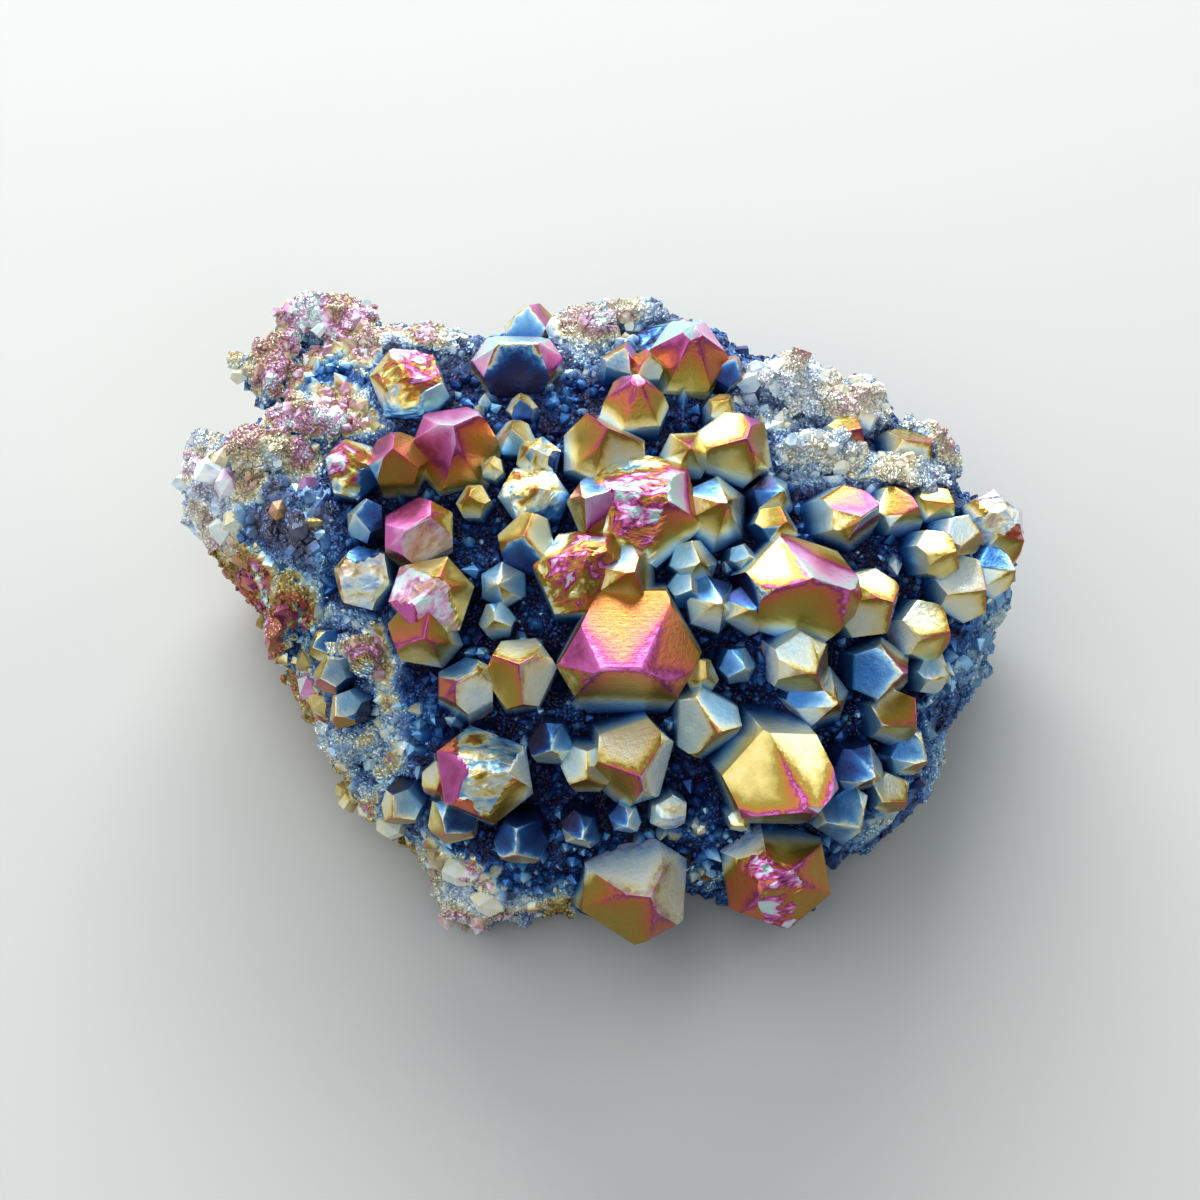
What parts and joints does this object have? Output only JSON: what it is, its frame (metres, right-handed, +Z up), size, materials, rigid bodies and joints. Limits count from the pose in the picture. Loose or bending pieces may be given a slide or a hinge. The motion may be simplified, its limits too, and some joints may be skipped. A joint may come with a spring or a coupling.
{
  "type": "aura quartz cluster",
  "caption": "Hand-sized crust of short hexagonal quartz points with a rainbow metal coating, on a broken sugary matrix with a flat underside.",
  "frame": {"origin": "middle of the footprint, on the plane the cluster rests on", "axes": "+X to the right along the longest side, +Y to the back, +Z up out of the flat underside; the show face of crystals looks up and forwards, 60 degrees above level, towards -Y"},
  "size_m": [0.0684, 0.0544, 0.032],
  "materials": {
    "coated_quartz": "titanium-coated quartz: opaque, glossy, iridescent from blue in the hollows to gold, pink and turquoise on the points"
  },
  "bodies": {
    "root": {"quartz_cluster": "coated_quartz"}
  },
  "joints": []
}
